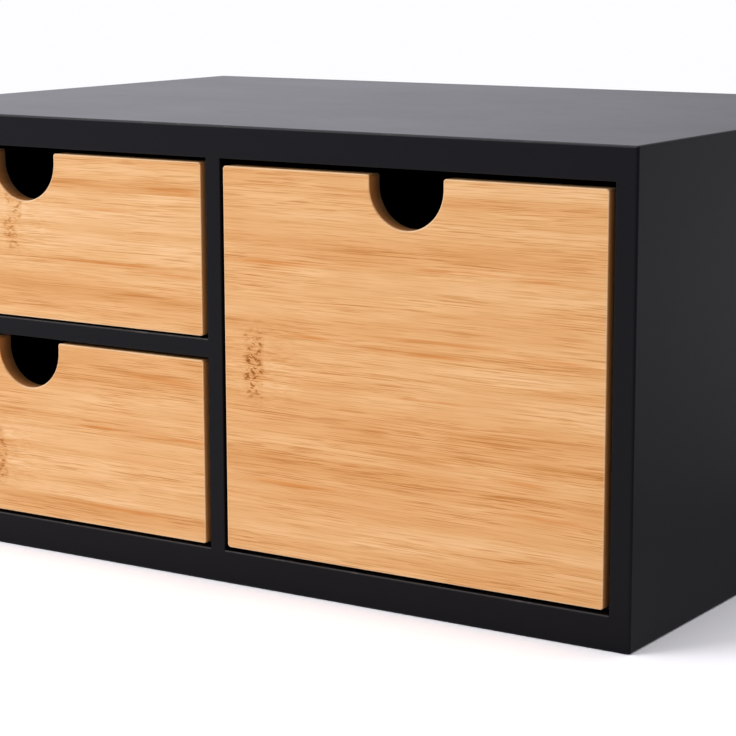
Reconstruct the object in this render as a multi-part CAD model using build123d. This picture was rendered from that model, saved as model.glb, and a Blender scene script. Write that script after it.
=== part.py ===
from build123d import *
import os

# A low desktop cabinet: a black painted board case with one large drawer on the right and two
# shallow drawers stacked on the left.  Each drawer is a painted board box behind a bamboo front
# with a finger notch in its top edge.
# Millimetres.  +X is to the right as seen from the front, the fronts face -Y, +Z is up.
# The origin is on the surface the cabinet stands on, under the middle of the case.

# ---- the case ------------------------------------------------------------------------------
case_width = 355.0
case_depth = 255.0
case_height = 170.0
top_thick = 12.0
base_thick = 12.5
side_thick = 8.0
divider_thick = 6.5
shelf_thick = 7.0
right_bay_width = 159.5
lower_bay_height = 72.0
outer_arris = 1.0          # rounding of the outer edges of the painted case
mouth_arris = 0.4          # rounding of the edges round the three drawer bays

back_thick = 3.0           # hardboard
back_ledge = 4.0           # how far the back panel laps onto each outer board
back_rebate = 3.2          # depth of the rebate it lies in
back_play = 0.3            # room round the back panel in its rebate

# ---- the drawers ---------------------------------------------------------------------------
front_thick = 7.0          # bamboo
front_corner = 1.2         # rounding of the front's corners, seen face on
front_arris = 0.5          # rounding of the edges round the face
rear_arris = 0.4
gap_left = 1.3             # every drawer stands a little left of the middle of its play
gap_right = 2.3
notch_width = 30.0
notch_depth = 18.7
notch_corner = 1.0         # rounding where the notch meets the top edge

box_side_thick = 6.0
box_back_thick = 8.0
box_setback = 0.5          # the box is this much narrower than the front at each end
box_top_drop = 5.0         # the box stops this far below the front's top edge
box_top_arris = 0.8
box_stop_gap = 0.5         # room left between a closed drawer and the back panel
bottom_thick = 3.0         # hardboard
groove_depth = 3.0
groove_height = 4.0        # groove's lower face above the runner edge
bottom_play = 0.2          # room at each edge of the bottom in its groove

# ---- dowels and brads ----------------------------------------------------------------------
case_dowel_dia = 5.0       # top and base to the sides
case_dowel_in_board = 8.0  # length held by the top or the base
case_dowel_in_side = 14.0
inner_dowel_dia = 3.5      # divider and shelf
inner_dowel_in_wall = 4.0
inner_dowel_in_edge = 12.0
dowel_end_distance = 30.0  # first and last dowel from the front and rear of the case
dowel_rows = 3             # dowels along the depth of each joint of the case
drawer_dowel_dia = 3.0
drawer_dowel_in_front = 4.0
drawer_dowel_in_side = 12.0
lowest_fixing = 16.0       # lowest dowel or brad of a drawer above the runner edge
highest_fixing = 12.0      # highest one below the box's top edge
brad_shank_dia = 1.2
brad_head_dia = 2.4
brad_head_thick = 0.5
back_brad_length = 14.0
drawer_brad_length = 18.0
brads_across = 6           # along the top and the base, corners included
brads_up = 4               # up each side, corners included
shelf_brad_spaces = 3      # the shelf's brads part it into this many lengths

hair = 0.01                # nearer than this, two places are the same place

# ---- places worked out from the sizes above -------------------------------------------------
front_y = -case_depth / 2
rear_y = case_depth / 2
inner_right = case_width / 2 - side_thick
inner_left = -inner_right
divider_right = inner_right - right_bay_width
divider_left = divider_right - divider_thick
bay_top = case_height - top_thick
shelf_bottom = base_thick + lower_bay_height
shelf_top = shelf_bottom + shelf_thick
rebate_y = rear_y - back_rebate
box_front_y = front_y + front_thick
box_rear_y = rebate_y - box_stop_gap


def block(x_range, y_range, z_range):
    """A square-edged board between three pairs of limits."""
    size = [high - low for low, high in (x_range, y_range, z_range)]
    middle = [(high + low) / 2 for low, high in (x_range, y_range, z_range)]
    return Pos(*middle) * Box(*size)


def rod(start, end, diameter):
    """A round rod from one point to another along X, Y or Z."""
    axis_line = Vector(*end) - Vector(*start)
    plane = Plane(origin=start, z_dir=axis_line)
    return extrude(plane * Circle(diameter / 2), amount=axis_line.length)


def brad(head, tip):
    """A brad with its flat head set flush at one point and its tip at the other."""
    way = (Vector(*tip) - Vector(*head)).normalized()
    under_head = Vector(*head) + way * brad_head_thick
    return rod(head, under_head, brad_head_dia) + rod(under_head, tip, brad_shank_dia)


def spread(first, last, count):
    """Evenly spaced places from first to last."""
    step = (last - first) / (count - 1)
    return [first + step * i for i in range(count)]


# ---- the case ------------------------------------------------------------------------------
bays = {
    "large": ((divider_right, inner_right), (base_thick, bay_top)),
    "upper": ((inner_left, divider_left), (shelf_top, bay_top)),
    "lower": ((inner_left, divider_left), (base_thick, shelf_bottom)),
}


def painted_case():
    """All boards of the case in one, with its edges rounded as they are before painting."""
    outer = block((-case_width / 2, case_width / 2), (front_y, rear_y), (0, case_height))
    outer = fillet(outer.edges(), outer_arris)
    for x_range, z_range in bays.values():
        outer -= block(x_range, (front_y - 1, rear_y + 1), z_range)
    face_edges = outer.edges().filter_by(Plane.XZ).filter_by(GeomType.LINE)
    mouth_edges = [
        edge for edge in face_edges
        if abs(edge.center().Y - front_y) < hair and is_inside_outline(edge.center())
    ]
    outer = fillet(mouth_edges, mouth_arris)
    lap_x = inner_right + back_ledge
    lap_z = (base_thick - back_ledge, bay_top + back_ledge)
    return outer - block((-lap_x, lap_x), (rebate_y, rear_y + 1), lap_z)


def is_inside_outline(point):
    """True for a point on an edge of a bay, and false on the outline of the case."""
    return abs(point.X) < case_width / 2 - side_thick / 2 and top_thick / 2 < point.Z < bay_top + 1


def case_dowels():
    """Dowels of the case, in four groups by the joint that they hold."""
    rows = spread(front_y + dowel_end_distance, rear_y - dowel_end_distance, dowel_rows)
    side_middle = case_width / 2 - side_thick / 2
    divider_middle = (divider_left + divider_right) / 2
    shelf_middle = (shelf_bottom + shelf_top) / 2
    top = []
    base = []
    divider = []
    shelf = []
    for y in rows:
        for x in (-side_middle, side_middle):
            top.append(rod((x, y, bay_top - case_dowel_in_side),
                           (x, y, bay_top + case_dowel_in_board), case_dowel_dia))
            base.append(rod((x, y, base_thick - case_dowel_in_board),
                            (x, y, base_thick + case_dowel_in_side), case_dowel_dia))
        divider.append(rod((divider_middle, y, bay_top - inner_dowel_in_edge),
                           (divider_middle, y, bay_top + inner_dowel_in_wall), inner_dowel_dia))
        divider.append(rod((divider_middle, y, base_thick - inner_dowel_in_wall),
                           (divider_middle, y, base_thick + inner_dowel_in_edge), inner_dowel_dia))
        shelf.append(rod((inner_left - inner_dowel_in_wall, y, shelf_middle),
                         (inner_left + inner_dowel_in_edge, y, shelf_middle), inner_dowel_dia))
        shelf.append(rod((divider_left - inner_dowel_in_edge, y, shelf_middle),
                         (divider_left + inner_dowel_in_wall, y, shelf_middle), inner_dowel_dia))
    return {"top_dowels": top, "base_dowels": base, "divider_dowels": divider, "shelf_dowels": shelf}


def back_panel_brads():
    """Brads driven through the back panel into the edges of the boards it lies on."""
    head_y = rebate_y + back_thick
    side_x = inner_right + back_ledge / 2
    top_z = bay_top + back_ledge / 2
    base_z = base_thick - back_ledge / 2
    divider_middle = (divider_left + divider_right) / 2
    shelf_middle = (shelf_bottom + shelf_top) / 2
    places = []
    for x in spread(-side_x, side_x, brads_across):
        places += [(x, top_z), (x, base_z)]
    for z in spread(base_z, top_z, brads_up)[1:-1]:
        places += [(-side_x, z), (side_x, z), (divider_middle, z)]
    for x in spread(inner_left, divider_left, shelf_brad_spaces + 1)[1:-1]:
        places.append((x, shelf_middle))
    return [brad((x, head_y, z), (x, head_y - back_brad_length, z)) for x, z in places]


def case_parts():
    """Every piece of the case, by node name."""
    whole = painted_case()
    width = (-case_width / 2, case_width / 2)
    depth = (front_y, rear_y)
    lap_x = inner_right + back_ledge - back_play
    boards = {
        "top_panel": whole & block(width, depth, (bay_top, case_height)),
        "base_panel": whole & block(width, depth, (0, base_thick)),
        "left_side_panel": whole & block((-case_width / 2, inner_left), depth, (base_thick, bay_top)),
        "right_side_panel": whole & block((inner_right, case_width / 2), depth, (base_thick, bay_top)),
        "centre_divider": whole & block((divider_left, divider_right), depth, (base_thick, bay_top)),
        "left_shelf": whole & block((inner_left, divider_left), depth, (shelf_bottom, shelf_top)),
        "back_panel": block((-lap_x, lap_x), (rebate_y, rebate_y + back_thick),
                            (base_thick - back_ledge + back_play, bay_top + back_ledge - back_play)),
    }
    fasteners = case_dowels()
    fasteners["back_panel_brads"] = back_panel_brads()
    drill = [piece for group in fasteners.values() for piece in group]
    parts = {name: board - drill for name, board in boards.items()}
    parts.update({name: Compound(children=group) for name, group in fasteners.items()})
    return parts


# ---- the drawers ---------------------------------------------------------------------------
# The bay each drawer is in, the gaps above and below its front, and its fixings at each corner.
drawers = {
    "large_drawer": {"bay": "large", "gap_above": 2.5, "gap_below": 1.5, "fixings": 3},
    "upper_drawer": {"bay": "upper", "gap_above": 1.9, "gap_below": 0.8, "fixings": 2},
    "lower_drawer": {"bay": "lower", "gap_above": 1.3, "gap_below": 1.3, "fixings": 2},
}


def drawer_limits(drawer):
    """Left, right, floor, and the front's bottom and top, of one drawer."""
    (bay_left, bay_right), (floor, ceiling) = bays[drawer["bay"]]
    left = bay_left + gap_left
    right = bay_right - gap_right
    return left, right, floor, floor + drawer["gap_below"], ceiling - drawer["gap_above"]


def notched_front(left, right, bottom, top):
    """A bamboo front with a round-bottomed finger notch in the middle of its top edge."""
    middle = (left + right) / 2
    radius = notch_width / 2
    centre_z = top - notch_depth + radius
    drawing = Plane(origin=(0, front_y, 0), x_dir=(1, 0, 0), z_dir=(0, -1, 0))
    panel = Pos(middle, (bottom + top) / 2) * Rectangle(right - left, top - bottom)
    panel -= Pos(middle, centre_z) * Circle(radius)
    panel -= Pos(middle, centre_z + notch_depth / 2) * Rectangle(notch_width, notch_depth)
    lips = [v for v in panel.vertices() if abs(v.Y - top) < hair and abs(v.X - middle) < notch_width]
    panel = fillet(lips, notch_corner)
    corners = [v for v in panel.vertices() if min(abs(v.X - left), abs(v.X - right)) < hair]
    panel = fillet(corners, front_corner)
    board = extrude(drawing * panel, amount=-front_thick)
    board = fillet(board.faces().sort_by(Axis.Y)[0].edges(), front_arris)
    return fillet(board.faces().sort_by(Axis.Y)[-1].edges(), rear_arris)


def soften_top(board):
    """Rounds the upper edges of a box board."""
    return fillet(board.faces().sort_by(Axis.Z)[-1].edges(), box_top_arris)


def drawer_dowels(left, right, low, high, count):
    """Dowels that hold the front to the two sides of the box."""
    depth = (box_front_y - drawer_dowel_in_front, box_front_y + drawer_dowel_in_side)
    middles = (left + box_side_thick / 2, right - box_side_thick / 2)
    heights = spread(low, high, count)
    return [rod((x, depth[0], z), (x, depth[1], z), drawer_dowel_dia) for x in middles for z in heights]


def drawer_brads(left, right, low, high, count):
    """Brads driven through the sides into the ends of the back."""
    y = box_rear_y - box_back_thick / 2
    brads = []
    for z in spread(low, high, count):
        brads.append(brad((left, y, z), (left + drawer_brad_length, y, z)))
        brads.append(brad((right, y, z), (right - drawer_brad_length, y, z)))
    return brads


def drawer_parts(name, drawer):
    """Every piece of one drawer, by node name."""
    front_left, front_right, floor, front_bottom, front_top = drawer_limits(drawer)
    left = front_left + box_setback
    right = front_right - box_setback
    box_height = (floor, front_top - box_top_drop)
    depth = (box_front_y, box_rear_y)
    inner_x = (left + box_side_thick, right - box_side_thick)
    inner_y = (box_front_y, box_rear_y - box_back_thick)
    groove = (floor + groove_height, floor + groove_height + bottom_thick)
    groove_room = block((inner_x[0] - groove_depth, inner_x[1] + groove_depth),
                        (inner_y[0] - groove_depth, inner_y[1] + groove_depth), groove)
    held = groove_depth - bottom_play
    fixing_heights = (floor + lowest_fixing, box_height[1] - highest_fixing)
    dowels = drawer_dowels(left, right, *fixing_heights, drawer["fixings"])
    brads = drawer_brads(left, right, *fixing_heights, drawer["fixings"])
    boards = {
        "front": notched_front(front_left, front_right, front_bottom, front_top),
        "left_side": soften_top(block((left, inner_x[0]), depth, box_height)),
        "right_side": soften_top(block((inner_x[1], right), depth, box_height)),
        "back": soften_top(block(inner_x, (inner_y[1], box_rear_y), box_height)),
    }
    parts = {f"{name}_{piece}": board - groove_room - dowels - brads for piece, board in boards.items()}
    parts[f"{name}_bottom"] = block((inner_x[0] - held, inner_x[1] + held),
                                    (inner_y[0] - held, inner_y[1] + held), groove)
    parts[f"{name}_dowels"] = Compound(children=dowels)
    parts[f"{name}_brads"] = Compound(children=brads)
    return parts


# ---- write one file per piece ---------------------------------------------------------------
all_parts = case_parts()
for drawer_name, drawer_sizes in drawers.items():
    all_parts.update(drawer_parts(drawer_name, drawer_sizes))

os.makedirs("parts", exist_ok=True)
for part_name, part in all_parts.items():
    export_step(part, f"parts/{part_name}.step")
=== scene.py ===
import math

import bpy
from mathutils import Matrix, Vector


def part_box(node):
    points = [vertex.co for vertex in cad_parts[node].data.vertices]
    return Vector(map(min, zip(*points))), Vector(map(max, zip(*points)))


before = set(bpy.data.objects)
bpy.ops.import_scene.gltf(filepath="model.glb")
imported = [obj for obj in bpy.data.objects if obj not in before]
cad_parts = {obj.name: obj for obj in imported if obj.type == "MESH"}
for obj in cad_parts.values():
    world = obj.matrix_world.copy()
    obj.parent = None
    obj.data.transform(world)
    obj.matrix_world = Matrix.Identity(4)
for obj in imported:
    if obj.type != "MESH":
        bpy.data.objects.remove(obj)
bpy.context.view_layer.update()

# ---- case boards ----------------------------------------------------------------------------
# The carcass: top, base, two sides, the upright divider and the shelf, all of fibreboard.  It is
# sprayed satin black after assembly, so the film has a faint orange peel, runs a little thin
# over the arrises, and is duller where it was rubbed down.  The lighter colour on the arrises is
# partly that thin paint and partly a painted highlight.
MM = 0.001
lying_boards = ("top_panel", "base_panel", "left_shelf")
upright_boards = ("left_side_panel", "centre_divider", "right_side_panel")
black_paint = (0.0038, 0.0038, 0.0050, 1.0)
# The arris colour: partly thin paint, partly a painted highlight.
thin_paint_and_highlight = (0.1250, 0.1120, 0.1060, 1.0)
paint_sheen = (0.93, 0.92, 1.00, 1.0)
case_gloss = 0.125
case_dullness = 0.31
cloudy_dullness = 0.04
rubbed_dullness = 0.015
arris_width = 0.8
joint_fade = 0.3
past_board = 40.0

# The sizes of marks are in millimetres across, in depth and in height.  A soft step is given as
# the values where it starts and ends, and then as what it gives there, if not 0 and 1.
peel_size = (1.1, 1.1, 1.1)
peel_height = 0.004 * MM
cloud_size = (60.0, 45.0, 50.0)
rub_size = (9.0, 7.0, 8.0)
rub_step = (0.52, 0.70)
wear_and_highlight_step = (0.0, 1.0, 0.35, 0.85)


def feed(tree, placed, feeds):
    """Gives a node's inputs their values, or links the outputs of other nodes to them."""
    for name, value in feeds.items():
        if isinstance(value, bpy.types.NodeSocket):
            tree.links.new(value, placed.inputs[name])
        else:
            placed.inputs[name].default_value = value
    return placed


def put(tree, kind, feeds, **settings):
    """Places one node with its settings and its inputs."""
    placed = tree.nodes.new("ShaderNode" + kind)
    for name, value in settings.items():
        setattr(placed, name, value)
    return feed(tree, placed, feeds)


def reckon(tree, operation, first, second=0.0, third=0.0):
    """The result of one Math node."""
    return put(tree, "Math", {0: first, 1: second, 2: third}, operation=operation).outputs[0]


def reckon_place(tree, operation, first, second):
    """The result of one Vector Math node on two places."""
    return put(tree, "VectorMath", {0: first, 1: second}, operation=operation).outputs[0]


def scaled(tree, whole, share):
    """A place or a colour times a number."""
    return put(tree, "VectorMath", {0: whole, "Scale": share}, operation="SCALE").outputs[0]


def axes(tree, place):
    """The three numbers of a place: across, in depth and in height."""
    return put(tree, "SeparateXYZ", {0: place}).outputs


def ease(tree, value, start, end, low=0.0, high=1.0):
    """A soft step of the value, from low at start to high at end."""
    feeds = {"Value": value, "From Min": start, "From Max": end, "To Min": low, "To Max": high}
    return put(tree, "MapRange", feeds, interpolation_type="SMOOTHSTEP").outputs["Result"]


def blend(tree, share, first, second, kind="MIX"):
    """A share of the second colour laid over the first."""
    feeds = {0: share, 6: first, 7: second}
    return put(tree, "Mix", feeds, data_type="RGBA", blend_type=kind).outputs[2]


def stretched(tree, place, lengths, shift=(0.0, 0.0, 0.0)):
    """The place divided by a length along each axis, so that marks come out that long."""
    sizes = tuple(1 / length for length in lengths)
    return put(tree, "Mapping", {"Vector": place, "Scale": sizes, "Location": shift}).outputs[0]


def noise(tree, place, lengths, shift=(0.0, 0.0, 0.0), detail=2.0, roughness=0.5, distortion=0.0):
    """Noise between 0 and 1, with marks of the given lengths."""
    feeds = {"Vector": stretched(tree, place, lengths, shift), "Scale": 1.0, "Detail": detail,
             "Roughness": roughness, "Distortion": distortion}
    return put(tree, "TexNoise", feeds).outputs["Fac"]


def place_in_mm(tree):
    """The point on the piece, in millimetres; it stays with the piece as that slides."""
    return scaled(tree, put(tree, "TexCoord", {}).outputs["Object"], 1 / MM)


def new_group(name, takes, gives):
    """An empty node group; gives its tree, its inputs seen from inside, and its outputs."""
    tree = bpy.data.node_groups.new(name, "ShaderNodeTree")
    for label, kind in takes.items():
        tree.interface.new_socket(label, in_out="INPUT", socket_type="NodeSocket" + kind)
    for label, kind in gives.items():
        tree.interface.new_socket(label, in_out="OUTPUT", socket_type="NodeSocket" + kind)
    taken = tree.nodes.new("NodeGroupInput").outputs
    return tree, taken, tree.nodes.new("NodeGroupOutput")


def use(tree, group, feeds):
    """Places a node group in a material; gives its outputs."""
    placed = tree.nodes.new("ShaderNodeGroup")
    placed.node_tree = group
    return feed(tree, placed, feeds).outputs


def new_finish(name):
    """A material with a Principled shader; gives the material, its tree and the shader."""
    finish = bpy.data.materials.new(name)
    finish.use_nodes = True
    tree = finish.node_tree
    tree.nodes.clear()
    shader = put(tree, "BsdfPrincipled", {})
    put(tree, "OutputMaterial", {"Surface": shader.outputs[0]})
    return finish, tree, shader


def relief(tree, height, depth, strength=1.0, sunk=False):
    """A normal for marks that stand up, or are sunk, by a depth in metres."""
    feeds = {"Height": height, "Distance": depth, "Strength": strength}
    return put(tree, "Bump", feeds, invert=sunk).outputs[0]


# Where the arrises of a board are: 1 on them, 0 a little way in.
board_edges, edges_in, edges_out = new_group(
    "board edges", {"Place": "Vector", "Low": "Vector", "High": "Vector", "Width": "Float"},
    {"Edge": "Float"})
from_low = reckon_place(board_edges, "SUBTRACT", edges_in["Place"], edges_in["Low"])
from_high = reckon_place(board_edges, "SUBTRACT", edges_in["High"], edges_in["Place"])
gaps = axes(board_edges, reckon_place(board_edges, "MINIMUM", from_low, from_high))
nearer = reckon(board_edges, "MINIMUM", gaps[0], gaps[1])
farther = reckon(board_edges, "MAXIMUM", gaps[0], gaps[1])
second_gap = reckon(board_edges, "MAXIMUM", nearer, reckon(board_edges, "MINIMUM", farther, gaps[2]))
feed(board_edges, edges_out, {"Edge": ease(board_edges, second_gap, edges_in["Width"], 0.0)})

# A sprayed film: fine orange peel, broad cloudiness, and a few dull rubbed places.
sprayed_film, film_in, film_out = new_group(
    "sprayed film", {"Place": "Vector"}, {"Peel": "Float", "Cloud": "Float", "Rub": "Float"})
rubbed = noise(sprayed_film, film_in["Place"], rub_size, detail=4.0, roughness=0.7)
feed(sprayed_film, film_out, {
    "Peel": noise(sprayed_film, film_in["Place"], peel_size, roughness=0.45),
    "Cloud": noise(sprayed_film, film_in["Place"], cloud_size),
    "Rub": ease(sprayed_film, rubbed, *rub_step)})


def painted(name, paint, dullness, gloss, low, high, covered=()):
    """Black sprayed paint, lighter along the arrises of the box from low to high but where covered:
    partly thin paint there and partly a painted highlight.
    """
    finish, tree, shader = new_finish(name + " paint")
    place = place_in_mm(tree)
    board = {"Place": place, "Low": low, "High": high, "Width": arris_width}
    edges = use(tree, board_edges, board)["Edge"]
    for start, end in covered:
        half = (end - start) / 2
        off_middle = reckon(tree, "SUBTRACT", axes(tree, place)[0], (start + end) / 2)
        bare = ease(tree, reckon(tree, "ABSOLUTE", off_middle), half, half + joint_fade)
        edges = reckon(tree, "MULTIPLY", edges, bare)
    film = use(tree, sprayed_film, {"Place": place})
    # The arrises take a lighter colour: partly thin, rubbed paint and partly a painted highlight.
    worn_and_highlit = reckon(tree, "MULTIPLY", edges, ease(tree, film["Rub"], *wear_and_highlight_step))
    dulled = reckon(tree, "MULTIPLY_ADD", film["Cloud"], cloudy_dullness, dullness)
    feed(tree, shader, {
        "Base Color": blend(tree, worn_and_highlit, paint, thin_paint_and_highlight),
        "Roughness": reckon(tree, "MULTIPLY_ADD", film["Rub"], rubbed_dullness, dulled),
        "Normal": relief(tree, film["Peel"], peel_height),
        "Specular IOR Level": gloss,
        "Specular Tint": paint_sheen})
    return finish


# A lying board shows one lighter arris along its upper front edge, partly worn and partly a
# painted highlight where light from above catches it, and the base none of it where the upright
# boards stand on it.  The arrises of the upright boards are well covered.
upright_spans = [tuple(corner.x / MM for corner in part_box(board)) for board in upright_boards]
for board in lying_boards + upright_boards:
    low, high = (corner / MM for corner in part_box(board))
    above = 0.0 if board in lying_boards else past_board
    low = Vector((low.x - past_board, low.y, low.z - past_board))
    high = high + Vector((past_board, past_board, above))
    covered = upright_spans if board == "base_panel" else ()
    finish = painted(board, black_paint, case_dullness, case_gloss, low, high, covered)
    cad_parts[board].material_slots[0].material = finish

# ---- back panel -----------------------------------------------------------------------------
# A sheet of 3 mm hardboard in a rebate behind the carcass, dyed black in the pulp and pressed
# smooth, with short wood fibres showing.  Steel brads hold it all round, and to the divider and
# the shelf.
hardboard_black = (0.0080, 0.0076, 0.0074, 1.0)
hardboard_fibre = (0.0240, 0.0215, 0.0190, 1.0)
hardboard_gloss = 0.3
fibre_across = (3.0, 0.4, 0.35)
fibre_upright = (0.35, 0.4, 3.0)
fibre_step = (0.50, 0.78)
fibre_height = 0.02 * MM
fibre_relief = 0.8
pulp_size = (30.0, 30.0, 30.0)
pulp_share_step = (0.3, 0.7, 0.35, 0.9)
pulp_dullness_step = (0.3, 0.7, 0.58, 0.70)

pulp_fibres, pulp_in, pulp_out = new_group(
    "pulp fibres", {"Place": "Vector"}, {"Fibre": "Float", "Cloud": "Float"})
strands_across, strands_upright = (
    noise(pulp_fibres, pulp_in["Place"], lengths, detail=3.0, roughness=0.6, distortion=1.2)
    for lengths in (fibre_across, fibre_upright))
strands = reckon(pulp_fibres, "MAXIMUM", strands_across, strands_upright)
feed(pulp_fibres, pulp_out, {
    "Fibre": ease(pulp_fibres, strands, *fibre_step),
    "Cloud": noise(pulp_fibres, pulp_in["Place"], pulp_size, detail=3.0, roughness=0.6)})

black_hardboard, hardboard_tree, hardboard_shader = new_finish("black hardboard")
pulp = use(hardboard_tree, pulp_fibres, {"Place": place_in_mm(hardboard_tree)})
fibre_share = ease(hardboard_tree, pulp["Cloud"], *pulp_share_step)
fibre_share = reckon(hardboard_tree, "MULTIPLY", pulp["Fibre"], fibre_share)
feed(hardboard_tree, hardboard_shader, {
    "Base Color": blend(hardboard_tree, fibre_share, hardboard_black, hardboard_fibre),
    "Roughness": ease(hardboard_tree, pulp["Cloud"], *pulp_dullness_step),
    "Normal": relief(hardboard_tree, pulp["Fibre"], fibre_height, fibre_relief),
    "Specular IOR Level": hardboard_gloss})
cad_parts["back_panel"].material_slots[0].material = black_hardboard

# ---- dowels and brads -----------------------------------------------------------------------
# Beech dowels, glued blind, join the boards of the carcass, and each drawer's front to its
# sides.  Steel brads hold the back panel and the backs of the drawers, their heads set flush.
beech_pale = (0.60, 0.40, 0.235, 1.0)
beech_fleck = (0.36, 0.19, 0.09, 1.0)
beech_dullness = 0.7
beech_fleck_size = (0.5, 3.0, 0.5)
beech_fleck_step = (0.5, 0.75)
steel_bright = (0.56, 0.57, 0.58, 1.0)
steel_dull = (0.30, 0.30, 0.31, 1.0)
dent_size = (0.7, 0.7, 0.7)
dent_height = 0.02 * MM
dent_colour_step = (0.35, 0.65)
dent_dullness_step = (0.3, 0.7, 0.42, 0.28)

beech, beech_tree, beech_shader = new_finish("beech dowel")
beech_rays = noise(beech_tree, place_in_mm(beech_tree), beech_fleck_size, detail=3.0)
beech_rays = ease(beech_tree, beech_rays, *beech_fleck_step)
feed(beech_tree, beech_shader, {
    "Base Color": blend(beech_tree, beech_rays, beech_pale, beech_fleck),
    "Roughness": beech_dullness})

steel, steel_tree, steel_shader = new_finish("bright steel brad")
dents = noise(steel_tree, place_in_mm(steel_tree), dent_size, detail=4.0, roughness=0.65)
dent_share = ease(steel_tree, dents, *dent_colour_step)
feed(steel_tree, steel_shader, {
    "Base Color": blend(steel_tree, dent_share, steel_dull, steel_bright),
    "Roughness": ease(steel_tree, dents, *dent_dullness_step),
    "Normal": relief(steel_tree, dents, dent_height),
    "Metallic": 1.0})

for name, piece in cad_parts.items():
    if name.endswith("_dowels"):
        piece.material_slots[0].material = beech
    if name.endswith("_brads"):
        piece.material_slots[0].material = steel

# ---- bamboo drawer fronts -------------------------------------------------------------------
# Each front is a 7 mm bamboo board, pressed from strips about 26 mm wide, with amber or brown
# along some of their joints and the dark flecks of one culm node.  It is lacquered clear, and the
# cutter has scorched the wall of its notch.  A painted shade darkens its ends and the notch wall
# from the face to the back, and a painted highlight lies on its arrises.
strip_width = 26.5
bamboo_tones = ((0.00, (0.940, 0.600, 0.325)), (0.25, (0.875, 0.508, 0.235)),
                (0.50, (0.792, 0.410, 0.160)), (0.75, (0.695, 0.315, 0.100)),
                (1.00, (0.575, 0.225, 0.052)))
bamboo_amber = (0.720, 0.255, 0.055, 1.0)
bamboo_fleck = (0.660, 0.500, 0.290, 1.0)
bamboo_end = (0.700, 0.275, 0.075, 1.0)
bamboo_scorched = (0.430, 0.135, 0.026, 1.0)
# A pale painted highlight for the lacquered arrises.
bamboo_arris_highlight = (0.960, 0.740, 0.500, 1.0)
bamboo_gloss = 0.14

# For each front: the height of its lowest joint, the tones of its strips from the base up, and
# its amber and brown streaks and its culm node, each by its middle along and up the board, half
# length and half height.
fronts = {
    "large_drawer": {
        "joint": 16.5, "tones": (0.49, 0.46, 0.54, 0.43, 0.47, 0.48, 0.48),
        "amber": ((34.0, 122.0, 30.0, 2.0), (72.0, 123.0, 18.0, 1.3), (114.0, 123.6, 34.0, 1.6),
                  (152.0, 123.2, 26.0, 2.4), (50.0, 96.2, 13.0, 1.3), (108.0, 98.8, 38.0, 1.2),
                  (94.0, 94.0, 40.0, 1.0), (44.0, 41.0, 34.0, 2.8), (150.0, 42.4, 34.0, 2.0),
                  (146.0, 96.6, 26.0, 1.5), (136.0, 53.0, 16.0, 2.4), (100.0, 78.0, 26.0, 0.9)),
        "brown": ((122.0, 65.6, 30.0, 4.6), (132.0, 69.4, 48.0, 0.9), (76.0, 65.0, 9.0, 3.4),
                  (92.0, 56.6, 24.0, 2.4), (28.0, 46.6, 28.0, 0.9), (90.0, 94.4, 44.0, 0.7),
                  (104.0, 103.0, 30.0, 0.8), (66.0, 107.2, 16.0, 0.8), (34.0, 119.0, 16.0, 3.4)),
        "node": (24.4, 84.0, 5.0, 15.2), "node strength": 0.95},
    "upper_drawer": {
        "joint": 116.5, "tones": (0.46, 0.30, 0.52),
        "amber": ((-14.0, 113.6, 26.0, 1.6), (-40.0, 116.0, 40.0, 0.9), (-24.0, 144.6, 34.0, 1.8),
                  (-46.0, 136.2, 26.0, 0.9)),
        "brown": ((-16.0, 146.4, 22.0, 3.0), (-60.0, 146.0, 26.0, 1.8), (-40.0, 116.0, 46.0, 0.7),
                  (-12.0, 111.4, 24.0, 0.6), (-26.0, 105.0, 24.0, 1.6)),
        "node": (-89.5, 129.5, 4.4, 14.0), "node strength": 0.55},
    "lower_drawer": {
        "joint": 23.0, "tones": (0.47, 0.41, 0.46, 0.49),
        "amber": ((-16.0, 73.2, 34.0, 2.0), (-36.0, 21.4, 30.0, 1.8), (-48.0, 52.4, 26.0, 1.0),
                  (-8.0, 52.0, 30.0, 1.2)),
        "brown": ((-26.0, 75.0, 34.0, 1.6), (-50.0, 52.4, 30.0, 0.7), (-18.0, 51.0, 30.0, 0.7),
                  (-62.0, 21.8, 24.0, 0.9), (-44.0, 70.6, 24.0, 0.8), (-14.0, 55.6, 22.0, 1.0)),
        "node": (-99.0, 36.0, 4.0, 13.5), "node strength": 0.55},
}

# How much darker than its strip each kind of mark is, how far amber tints and fine marks shade
# the colour, and how many coats of their own colour the flecks get.
fine_darker = 0.275
hairline_darker = 0.21
ripple_darker = 0.90
node_darker = 0.15
brown_darker = 0.30
amber_darker = 0.12
amber_tint = 0.56
fine_shade = -0.040
fleck_coats = 2


def swing(tree, value, most):
    """Noise turned into a distance, up to most either way."""
    return reckon(tree, "MULTIPLY_ADD", value, 2 * most, -most)


def moved(tree, place, along=0.0, up=0.0):
    """The place moved along the board and up it."""
    way = put(tree, "CombineXYZ", {0: along, 2: up}).outputs[0]
    return reckon_place(tree, "ADD", place, way)


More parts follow.
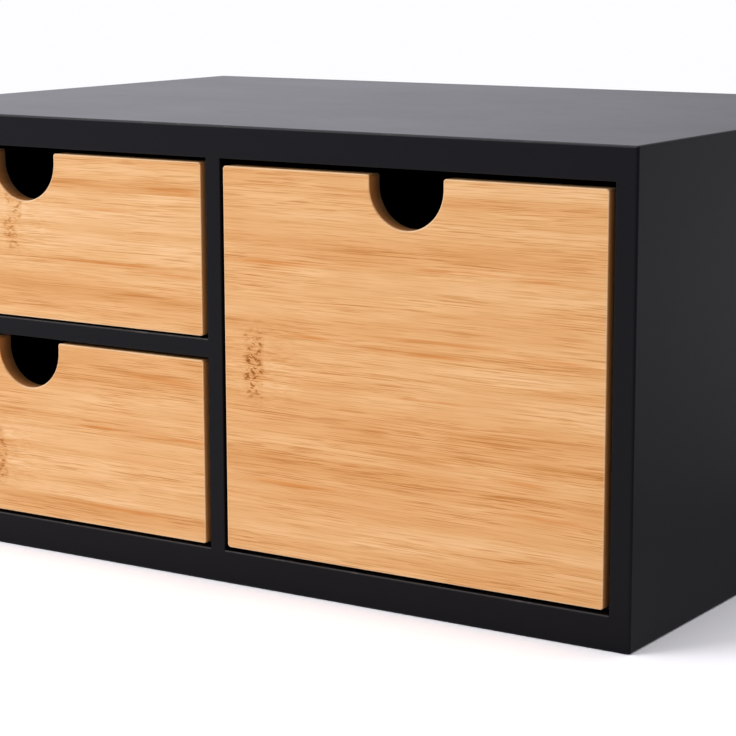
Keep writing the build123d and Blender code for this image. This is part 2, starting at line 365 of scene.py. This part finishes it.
# Fibres: tone that varies in long thin lines, fine marks, darker hairlines, and the bundles of
# fibres in which amber and brown show.  The grain starts afresh in each strip.
sway_size = (70.0, 30.0, 16.0)
sway_most = 0.8
strip_jump = 347.0
mark_step = (0.48, 0.67, -0.30, 0.70)
short_mark_size = (14.0, 1.0, 0.24)
long_mark_size = (46.0, 1.2, 0.27)
long_mark_shift = (5.3, 2.9, 0.0)
long_mark_share = 0.50
coarse_size = (44.0, 20.0, 10.0)
coarse_shift = (9.1, 3.3, 0.0)
coarse_step = (0.34, 0.66, 0.50, 1.40)
band_step = (0.2, 0.8, -0.5, 0.5)
bands = (((170.0, 8.0, 4.2), (15.9, 8.7, 0.0), 0.200),
         ((190.0, 20.0, 9.0), (21.2, 11.6, 0.0), 0.190),
         ((24.0, 9.0, 7.0), (26.5, 14.5, 0.0), 0.090))
hair_size = (52.0, 1.1, 0.34)
hair_shift = (2.7, 6.1, 0.0)
hair_step = (0.60, 0.72)
bundle_size = (28.0, 3.0, 0.75)
bundle_shift = (8.3, 1.1, 0.0)
bundle_step = (0.34, 0.62)

fibres, fibres_in, fibres_out = new_group(
    "bamboo fibres", {"Place": "Vector", "Strip": "Float"},
    {"Tone": "Float", "Fine": "Float", "Hairline": "Float", "Bundle": "Float"})
sway = noise(fibres, fibres_in["Place"], sway_size, detail=1.0)
grain_start = reckon(fibres, "MULTIPLY", fibres_in["Strip"], strip_jump)
grain_place = moved(fibres, fibres_in["Place"], grain_start, swing(fibres, sway, sway_most))
short_marks = ease(fibres, noise(fibres, grain_place, short_mark_size, detail=1.0), *mark_step)
long_marks = noise(fibres, grain_place, long_mark_size, long_mark_shift, detail=1.0)
long_marks = ease(fibres, long_marks, *mark_step)
fine_marks = reckon(fibres, "MULTIPLY_ADD", long_marks, long_mark_share, short_marks)
coarseness = noise(fibres, grain_place, coarse_size, coarse_shift, detail=1.0)
coarseness = ease(fibres, coarseness, *coarse_step)
band_tone = 0.0
for lengths, shift, share in bands:
    band = ease(fibres, noise(fibres, grain_place, lengths, shift, detail=0.0), *band_step)
    band_tone = reckon(fibres, "MULTIPLY_ADD", band, share, band_tone)
hairs = noise(fibres, grain_place, hair_size, hair_shift, detail=1.0, roughness=0.4)
bundles = noise(fibres, grain_place, bundle_size, bundle_shift, detail=1.0, roughness=0.6)
feed(fibres, fibres_out, {
    "Tone": band_tone,
    "Fine": reckon(fibres, "MULTIPLY", fine_marks, coarseness),
    "Hairline": ease(fibres, hairs, *hair_step),
    "Bundle": ease(fibres, bundles, *bundle_step)})

# A soft long patch on the face of a board, full within its core.
streak_core = 0.1
node_core = 0.45
ripple_core = 0.2

soft_patch, patch_in, patch_out = new_group(
    "soft patch",
    {"Place": "Vector", "Along": "Float", "Up": "Float", "Half length": "Float",
     "Half height": "Float", "Core": "Float"},
    {"Patch": "Float"})
patch_place = axes(soft_patch, patch_in["Place"])
patch_sides = []
for axis, middle, half in ((0, "Along", "Half length"), (2, "Up", "Half height")):
    offset = reckon(soft_patch, "SUBTRACT", patch_place[axis], patch_in[middle])
    offset = reckon(soft_patch, "DIVIDE", reckon(soft_patch, "ABSOLUTE", offset), patch_in[half])
    patch_sides.append(ease(soft_patch, offset, 1.0, patch_in["Core"]))
feed(soft_patch, patch_out, {"Patch": reckon(soft_patch, "MULTIPLY", *patch_sides)})

# The short slanting flecks of a culm node, thinner in places, the ripple of the fibres beside
# it, and the place moved so that the node wanders.
fleck_size = (2.6, 40.0, 1.0)
fleck_slant = -0.10
fleck_drift_size = (3.0, 30.0, 2.2)
fleck_drift_shift = (7.0, 0.0, 1.0)
fleck_drift_most = 2.0
thinning_size = (3.4, 30.0, 1.8)
thinning_shift = (0.0, 0.0, 5.5)
thinning_step = (0.34, 0.56, 0.40, 0.62)
fleck_core_share = 0.35
ripple_size = (6.0, 1.0, 0.62)
ripple_shift = (3.1, 0.0, 4.7)
ripple_twist = 0.9
wander_size = (60.0, 60.0, 6.0)
wander_most = 4.5

node_flecks, flecks_in, flecks_out = new_group(
    "culm node flecks", {"Place": "Vector"},
    {"Fleck": "Float", "Ripple": "Float", "Wander": "Vector"})
fleck_drift = noise(node_flecks, flecks_in["Place"], fleck_drift_size, fleck_drift_shift, detail=1.0)
fleck_drift = swing(node_flecks, fleck_drift, fleck_drift_most)
drifted = moved(node_flecks, flecks_in["Place"], up=fleck_drift)
slanted = put(node_flecks, "Mapping", {"Vector": drifted, "Rotation": (0.0, fleck_slant, 0.0)})
fleck_cells = {"Vector": stretched(node_flecks, slanted.outputs[0], fleck_size), "Scale": 1.0,
               "Randomness": 1.0}
off_fleck = put(node_flecks, "TexVoronoi", fleck_cells).outputs["Distance"]
thinning = noise(node_flecks, flecks_in["Place"], thinning_size, thinning_shift, detail=1.0)
fleck_edge = ease(node_flecks, thinning, *thinning_step)
fleck_core = reckon(node_flecks, "MULTIPLY", fleck_edge, fleck_core_share)
ripple = noise(node_flecks, flecks_in["Place"], ripple_size, ripple_shift, detail=1.0,
               distortion=ripple_twist)
wander = noise(node_flecks, flecks_in["Place"], wander_size, roughness=0.6)
wander = swing(node_flecks, wander, wander_most)
feed(node_flecks, flecks_out, {
    "Fleck": ease(node_flecks, off_fleck, fleck_edge, fleck_core),
    "Ripple": reckon(node_flecks, "SUBTRACT", ripple, 0.5),
    "Wander": moved(node_flecks, flecks_in["Place"], along=wander)})

# The fibres ripple in a wider patch than the node's own, a little along from it and above it.
ripple_along = 5.0
ripple_up = 2.0
ripple_half_length = 22.0
ripple_past_node = 9.0

# Ends and notch: the notch's size, how far from its middle the cutter has scorched, how the
# painted shade darkens the ends and the notch wall from the face to the back, and how deep the
# face's own colour reaches.
end_grain_step = (0.75, 0.95, 0.0, 0.85)
notch_width = 30.0
notch_depth = 18.7
scorch_reach = 23.0
scorch_fade = 2.0
gap_shade_margin = 0.5
gap_shade_front = 1.10
gap_shade_back = 0.06
face_depth = 0.4
wall_depth = 0.9
notch_wall_step = (0.5, 0.2, 0.0, 0.80)

# The arrises carry a pale painted highlight, weaker on the shaded left side of the notch,
# and the ends show none.
front_highlight_width = 0.7
notch_highlight_step = (0.7, 0.1)
notch_lit_side_step = (-12.0, 6.0, 0.15, 1.0)
highlight_on_face_step = (0.85, 0.55, 0.0, 0.75)
hairline_dullness_step = (0.0, 1.0, 0.46, 0.56)
hairline_depth = 0.006 * MM
hairline_relief = 0.5


def patch_of(tree, place, sizes, core):
    """A soft patch from its middle along, its middle up, half length and half height."""
    labels = ("Along", "Up", "Half length", "Half height")
    return use(tree, soft_patch, {"Place": place, "Core": core, **dict(zip(labels, sizes))})["Patch"]


def colour_steps(tree, value, steps, kind="LINEAR"):
    """The value turned into a colour, through the colours at their positions."""
    ramp = put(tree, "ValToRGB", {"Fac": value})
    ramp.color_ramp.interpolation = kind
    stops = ramp.color_ramp.elements
    while len(stops) < len(steps):
        stops.new(1.0)
    for stop, (position, colour) in zip(stops, steps):
        stop.position = position
        stop.color = (*colour, 1.0)
    return ramp.outputs["Color"]


def bamboo(drawer, front):
    """Lacquered bamboo for one drawer front."""
    finish, tree, shader = new_finish(drawer + " bamboo")
    place = place_in_mm(tree)
    along, depth, height = axes(tree, place)
    low, high = (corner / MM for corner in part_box(drawer + "_front"))

    # Strips, each with its own tone and its own stretch of grain.
    strip_count = len(front["tones"])
    above_base = reckon(tree, "SUBTRACT", height, front["joint"] - strip_width)
    strips_up = reckon(tree, "DIVIDE", above_base, strip_width)
    grain = use(tree, fibres, {"Place": place, "Strip": reckon(tree, "FLOOR", strips_up)})
    board_share = reckon(tree, "DIVIDE", strips_up, strip_count)
    strip_tones = [(number / strip_count, (tone,) * 3) for number, tone in enumerate(front["tones"])]
    strip_tone = colour_steps(tree, board_share, strip_tones, "CONSTANT")

    # Streaks along the joints, and the culm node.
    streaks = {}
    for kind in ("amber", "brown"):
        streak = 0.0
        for sizes in front[kind]:
            streak = reckon(tree, "MAXIMUM", patch_of(tree, place, sizes, streak_core), streak)
        streaks[kind] = reckon(tree, "MULTIPLY", streak, grain["Bundle"])
    flecks = use(tree, node_flecks, {"Place": place})
    node = patch_of(tree, flecks["Wander"], front["node"], node_core)
    node_along, node_up, _, node_half_height = front["node"]
    beside_node = (node_along + ripple_along, node_up + ripple_up, ripple_half_length,
                   node_half_height + ripple_past_node)
    rippled = patch_of(tree, place, beside_node, ripple_core)
    rippled = reckon(tree, "MULTIPLY", rippled, flecks["Ripple"])

    # The colour of the face.
    tone = reckon(tree, "ADD", strip_tone, grain["Tone"])
    for mark, darker in ((grain["Fine"], fine_darker), (grain["Hairline"], hairline_darker),
                         (rippled, ripple_darker), (node, node_darker),
                         (streaks["brown"], brown_darker), (streaks["amber"], amber_darker)):
        tone = reckon(tree, "MULTIPLY_ADD", mark, darker, tone)
    amber = reckon(tree, "MULTIPLY", streaks["amber"], amber_tint)
    colour = blend(tree, amber, colour_steps(tree, tone, bamboo_tones), bamboo_amber)
    fleck = reckon(tree, "MULTIPLY", flecks["Fleck"], front["node strength"])
    fleck = reckon(tree, "MULTIPLY", node, fleck)
    for _ in range(fleck_coats):
        colour = blend(tree, fleck, colour, bamboo_fleck, "MULTIPLY")
    shade = reckon(tree, "MULTIPLY_ADD", grain["Fine"], fine_shade, 1.0)
    colour = scaled(tree, colour, shade)

    # The end grain and the wall of the notch, with a painted shade that darkens them to the back.
    endways = axes(tree, put(tree, "TexCoord", {}).outputs["Normal"])[0]
    endways = reckon(tree, "ABSOLUTE", endways)
    end_grain = ease(tree, endways, *end_grain_step)
    off_middle = reckon(tree, "SUBTRACT", along, (low.x + high.x) / 2)
    scorched = reckon(tree, "ABSOLUTE", off_middle)
    scorched = ease(tree, scorched, scorch_reach, scorch_reach - scorch_fade)
    # Painted shade: the ends and the notch wall darken from the face to the back, as in a gap.
    painted_gap_shade = ease(tree, depth, low.y - gap_shade_margin, high.y + gap_shade_margin, gap_shade_front, gap_shade_back)
    end_colour = scaled(tree, blend(tree, scorched, bamboo_end, bamboo_scorched), painted_gap_shade)
    over_centre = reckon(tree, "SUBTRACT", height, high.z - notch_depth + notch_width / 2)
    over_centre = reckon(tree, "MINIMUM", over_centre, 0.0)
    off_centre = put(tree, "CombineXYZ", {0: off_middle, 2: over_centre}).outputs[0]
    off_centre = put(tree, "VectorMath", {0: off_centre}, operation="LENGTH").outputs["Value"]
    off_wall = reckon(tree, "SUBTRACT", off_centre, notch_width / 2)
    off_wall = reckon(tree, "ABSOLUTE", off_wall)
    behind_face = ease(tree, depth, low.y + face_depth, low.y + wall_depth)
    notch_wall = ease(tree, off_wall, *notch_wall_step)
    notch_wall = reckon(tree, "MULTIPLY", notch_wall, behind_face)
    colour = blend(tree, reckon(tree, "MAXIMUM", end_grain, notch_wall), colour, end_colour)

    # The painted highlight on the arrises of the face and of its notch.
    board = {"Place": place, "Low": low, "High": high, "Width": front_highlight_width}
    notch_highlight = ease(tree, off_wall, *notch_highlight_step)
    notch_highlight = reckon(tree, "MULTIPLY", notch_highlight, ease(tree, behind_face, 1.0, 0.0))
    notch_side = ease(tree, off_middle, *notch_lit_side_step)
    notch_highlight = reckon(tree, "MULTIPLY", notch_highlight, notch_side)
    arris = reckon(tree, "MAXIMUM", use(tree, board_edges, board)["Edge"], notch_highlight)
    arris = reckon(tree, "MULTIPLY", arris, ease(tree, endways, *highlight_on_face_step))
    feed(tree, shader, {
        "Base Color": blend(tree, arris, colour, bamboo_arris_highlight),
        "Roughness": ease(tree, grain["Hairline"], *hairline_dullness_step),
        "Normal": relief(tree, grain["Hairline"], hairline_depth, hairline_relief, sunk=True),
        "Specular IOR Level": bamboo_gloss})
    return finish


for drawer, front in fronts.items():
    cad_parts[drawer + "_front"].material_slots[0].material = bamboo(drawer, front)

# ---- drawer boxes ---------------------------------------------------------------------------
# Behind each front is a box of 6 mm and 8 mm fibreboard, painted black before assembly, with a
# hardboard bottom held in a groove all round.  Its paint is thinner and duller than the case's.
box_paint = (0.0072, 0.0070, 0.0074, 1.0)
box_dullness = 0.55
box_gloss = 0.25
for drawer in fronts:
    for board in (drawer + "_left_side", drawer + "_right_side", drawer + "_back"):
        low, high = (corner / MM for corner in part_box(board))
        finish = painted(board, box_paint, box_dullness, box_gloss, low, high)
        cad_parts[board].material_slots[0].material = finish
    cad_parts[drawer + "_bottom"].material_slots[0].material = black_hardboard

# ---- floor ----------------------------------------------------------------------------------
# A plain pale floor, larger than the view, that fades into the white surroundings far away.
# To the camera it is whiter than it is to the object.  To the object its colour holds a painted
# shadow, darker to the right, so that it throws less light from the right than from the left,
# and it keeps the object's shadow.
floor_colour = (0.90, 0.884, 0.920)
floor_reach = 3.0
floor_fade_step = (0.9, 2.6)
floor_seen = 1.39
bounce_left = 1.02
bounce_right = 0.48
bounce_far = 0.74
rightward = (1.0, 0.8, 0.0)
to_right_step = (0.0, 0.32)
to_far_step = (0.45, 1.20)


def lean(tree, place, way):
    """How far a place or a direction goes a given way."""
    return put(tree, "VectorMath", {0: place, 1: way}, operation="DOT_PRODUCT").outputs["Value"]


floor_mesh = bpy.data.meshes.new("floor")
floor_corners = [(x * floor_reach, y * floor_reach, 0.0)
                 for x, y in ((-1, -1), (1, -1), (1, 1), (-1, 1))]
floor_mesh.from_pydata(floor_corners, [], [(0, 1, 2, 3)])
floor = bpy.data.objects.new("floor", floor_mesh)
bpy.context.scene.collection.objects.link(floor)
floor_finish = bpy.data.materials.new("floor")
floor_finish.use_nodes = True
floor_tree = floor_finish.node_tree
floor_tree.nodes.clear()
floor_place = put(floor_tree, "TexCoord", {}).outputs["Object"]
off_object = put(floor_tree, "VectorMath", {0: floor_place}, operation="LENGTH").outputs["Value"]
to_right = lean(floor_tree, floor_place, rightward)
# Painted shadow: to the object the floor is darker to the right, where the case's shadow falls.
bounce = ease(floor_tree, to_right, *to_far_step, bounce_right, bounce_far)
bounce = ease(floor_tree, to_right, *to_right_step, bounce_left, bounce)
by_camera = put(floor_tree, "LightPath", {}).outputs["Is Camera Ray"]
level = ease(floor_tree, by_camera, 0.0, 1.0, bounce, floor_seen)
near_floor = put(floor_tree, "BsdfDiffuse", {"Color": scaled(floor_tree, floor_colour, level)})
far_floor = put(floor_tree, "BsdfTransparent", {})
fading = ease(floor_tree, off_object, *floor_fade_step)
whole_floor = {0: fading, 1: near_floor.outputs[0], 2: far_floor.outputs[0]}
put(floor_tree, "OutputMaterial", {"Surface": put(floor_tree, "MixShader", whole_floor).outputs[0]})
floor_mesh.materials.append(floor_finish)

# ---- light ----------------------------------------------------------------------------------
# A white room, brighter behind and to the left, dimmer to the right, and seen as plain white
# by the camera.  A large soft lamp stands high on the left in front, and one hangs overhead.
room_low = 0.44
room_high = 0.62
room_step = (-1.0, 0.9)
room_tint = (0.985, 0.985, 1.0, 1.0)
mirrored_low = 0.50
mirrored_high = 1.17
mirrored_step = (0.10, 0.66)
mirrored_tint = (0.925, 0.915, 1.0, 1.0)
bright_side = Vector((-0.62, 0.55, 0.56)).normalized()
left_side = Vector((-1.0, 0.0, 0.0))
object_middle = (0.0, 0.0, 0.08)

world = bpy.data.worlds.new("room")
bpy.context.scene.world = world
world.use_nodes = True
room = world.node_tree
room.nodes.clear()
rays = put(room, "LightPath", {}).outputs
toward = put(room, "TexCoord", {}).outputs["Generated"]
by_mirror = reckon(room, "MAXIMUM", rays["Is Glossy Ray"], rays["Is Transmission Ray"])
lighting = ease(room, lean(room, toward, bright_side), *room_step, room_low, room_high)
mirrored = ease(room, lean(room, toward, left_side), *mirrored_step, mirrored_low, mirrored_high)
by_object = ease(room, by_mirror, 0.0, 1.0, lighting, mirrored)
strength = ease(room, rays["Is Camera Ray"], 0.0, 1.0, by_object, 1.0)
tint = blend(room, by_mirror, room_tint, mirrored_tint)
backdrop = put(room, "Background", {"Color": tint, "Strength": strength})
put(room, "OutputWorld", {"Surface": backdrop.outputs[0]})


def soft_lamp(name, place, size, power):
    """A square soft box at a place, turned to face the middle of the object."""
    lamp = bpy.data.lights.new(name, "AREA")
    lamp.shape = "SQUARE"
    lamp.size = size
    lamp.energy = power
    holder = bpy.data.objects.new(name, lamp)
    holder.location = place
    aim = Vector(object_middle) - Vector(place)
    holder.rotation_euler = aim.to_track_quat("-Z", "Y").to_euler()
    holder.visible_camera = False
    bpy.context.scene.collection.objects.link(holder)


soft_lamp("key lamp", place=(-1.65, -1.8, 1.69), size=1.5, power=36.4)
soft_lamp("top lamp", place=(-0.2, 0.1, 1.5), size=1.2, power=10.0)

# ---- camera ---------------------------------------------------------------------------------
# Low, in front and to the right, close enough for the left end to run out of the picture.
camera_place = (0.51393, -0.80231, 0.23461)
camera_turn = 0.5781
camera_tip = -0.1806
camera_roll = 0.0027
camera_data = bpy.data.cameras.new("camera")
camera_data.lens = 114.18
camera_data.sensor_width = 36.0
camera = bpy.data.objects.new("camera", camera_data)
aimed = (Matrix.Rotation(camera_turn, 4, "Z") @ Matrix.Rotation(camera_tip, 4, "X")
         @ Matrix.Rotation(camera_roll, 4, "Y") @ Matrix.Rotation(math.pi / 2, 4, "X"))
camera.matrix_world = Matrix.Translation(camera_place) @ aimed
bpy.context.scene.collection.objects.link(camera)
bpy.context.scene.camera = camera
bpy.context.scene.view_settings.view_transform = "Standard"
